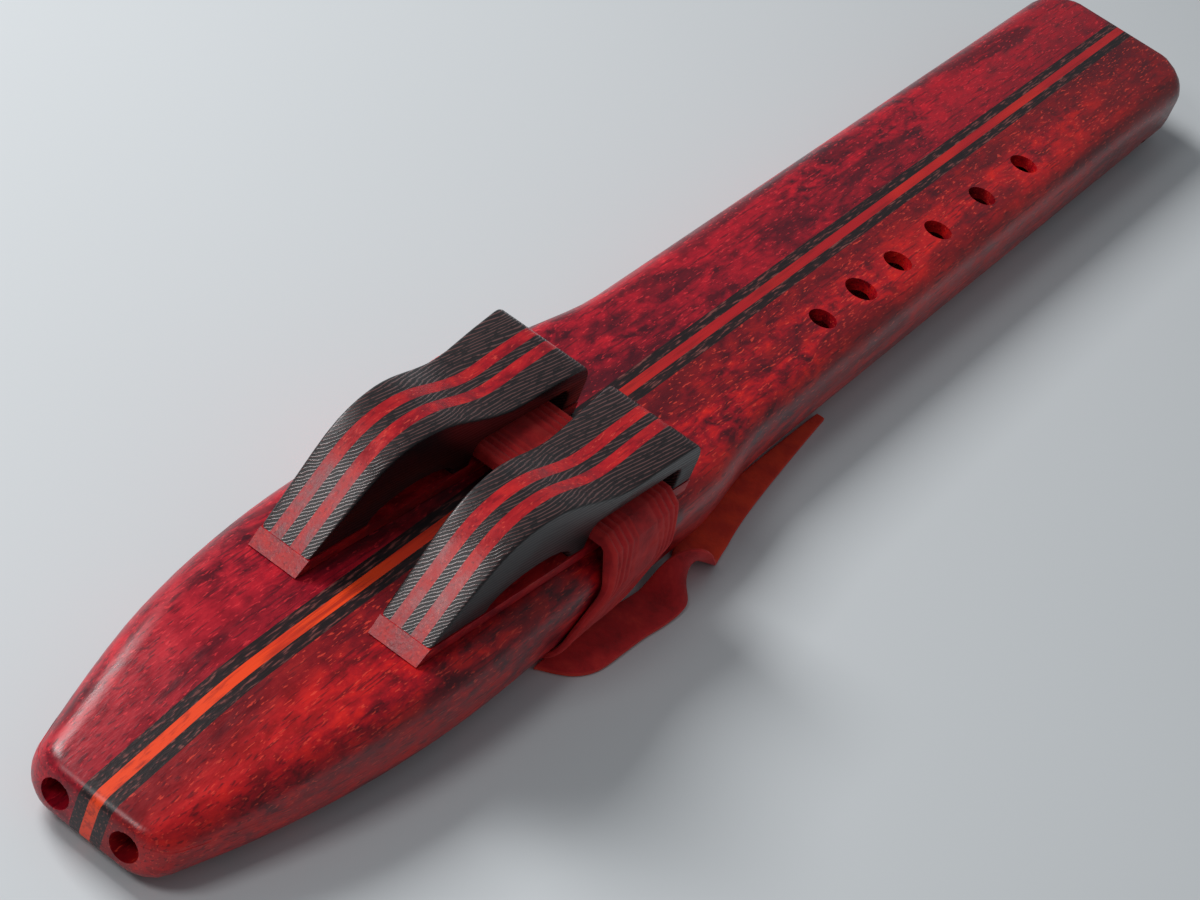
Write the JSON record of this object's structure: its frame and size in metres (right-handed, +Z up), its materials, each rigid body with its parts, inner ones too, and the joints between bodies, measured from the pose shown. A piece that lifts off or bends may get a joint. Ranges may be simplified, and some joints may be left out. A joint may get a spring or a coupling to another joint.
{
  "type": "double flute",
  "caption": "Double flute of laminated wood: two pipes in one flat body, carved blocks over the windways and a suede lace tied round.",
  "frame": {"origin": "centre of the bounding box's bottom, on the surface that the flute lies on, the lace's free end left out", "axes": "+X from the mouth end to the foot end along the pipes, +Y to the player's left, +Z up through the flat top"},
  "size_m": [0.606, 0.0946, 0.0585],
  "materials": {
    "red_wood": "dyed crimson, oiled, fine grain flecks",
    "orange_wood": "dyed orange red, oiled",
    "black_wood": "dark striped wood, oiled satin",
    "plug_wood": "plain sanded wood, inside the bore",
    "suede": "deep red suede, brighter grain side"
  },
  "bodies": {
    "root": {"core_strip": "orange_wood", "left_black_strip": "black_wood", "right_black_strip": "black_wood", "left_upper_plank": "red_wood", "left_lower_plank": "red_wood", "right_upper_plank": "red_wood", "right_lower_plank": "red_wood", "left_bore_plug": "plug_wood", "right_bore_plug": "plug_wood", "lace_wrap": "suede", "lace_tail": "suede"},
    "left_block": {"left_block_base_plate": "red_wood", "left_block_inner_black": "black_wood", "left_block_inner_red": "red_wood", "left_block_middle_black": "black_wood", "left_block_outer_red": "red_wood", "left_block_outer_black": "black_wood"},
    "right_block": {"right_block_base_plate": "red_wood", "right_block_inner_black": "black_wood", "right_block_inner_red": "red_wood", "right_block_middle_black": "black_wood", "right_block_outer_red": "red_wood", "right_block_outer_black": "black_wood"}
  },
  "joints": [
    {"name": "left_block_slide", "type": "slide", "parent": "root", "child": "left_block", "axis": [1, 0, 0], "range_m": [-0.003, 0.003]},
    {"name": "right_block_slide", "type": "slide", "parent": "root", "child": "right_block", "axis": [1, 0, 0], "range_m": [-0.003, 0.003]}
  ]
}
